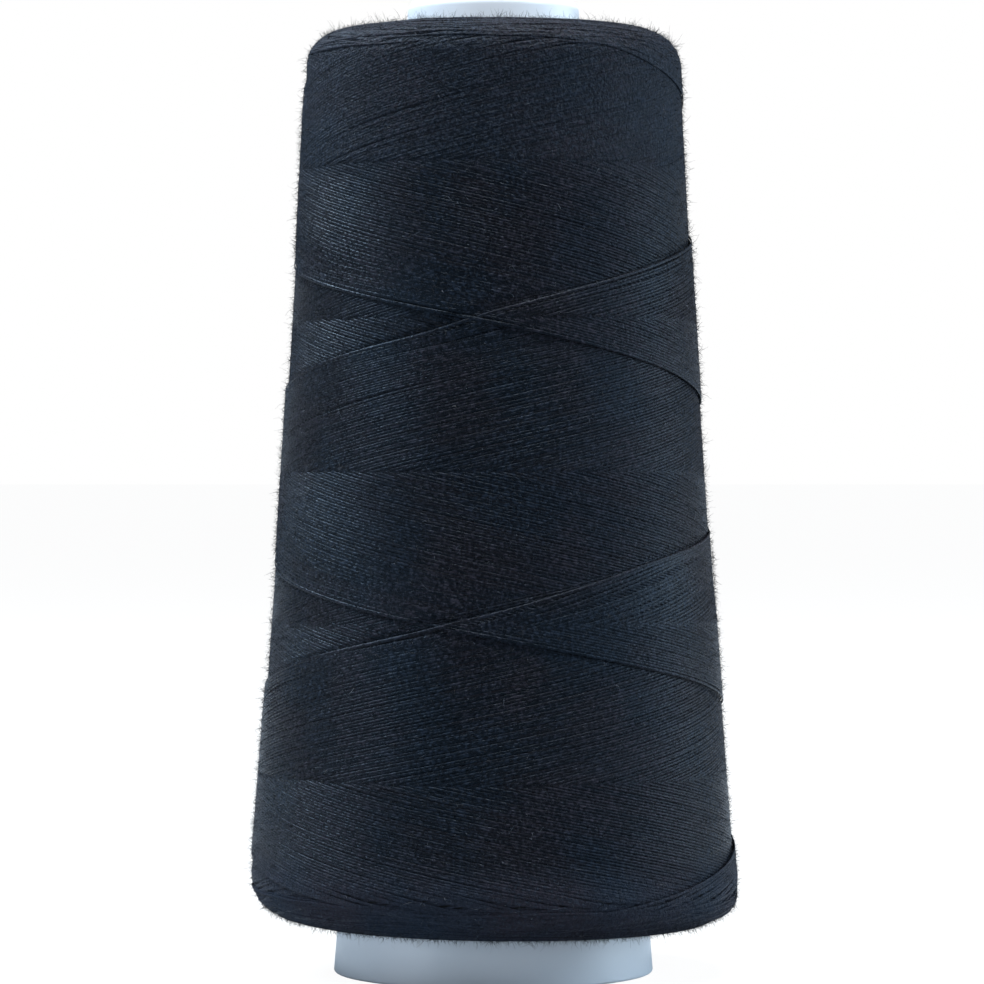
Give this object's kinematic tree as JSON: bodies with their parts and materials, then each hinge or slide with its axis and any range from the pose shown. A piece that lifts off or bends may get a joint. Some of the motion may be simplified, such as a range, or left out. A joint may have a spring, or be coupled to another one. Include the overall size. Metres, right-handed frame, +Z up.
{
  "type": "cone of thread",
  "caption": "Tapered package of black spun sewing thread, cross-wound on a hollow pale plastic cone that shows at its foot and nose.",
  "frame": {"origin": "middle of the plastic core's base, on the surface that it stands on", "axes": "+Z up along the cone's axis towards the nose, -Y towards the side that the picture shows, +X to that view's right"},
  "size_m": [0.07, 0.0699, 0.14],
  "materials": {
    "black_thread": "matt spun thread with short fuzz",
    "core_plastic": "smooth satin, slightly translucent"
  },
  "bodies": {
    "root": {"core": "core_plastic", "winding": "black_thread"}
  },
  "joints": []
}
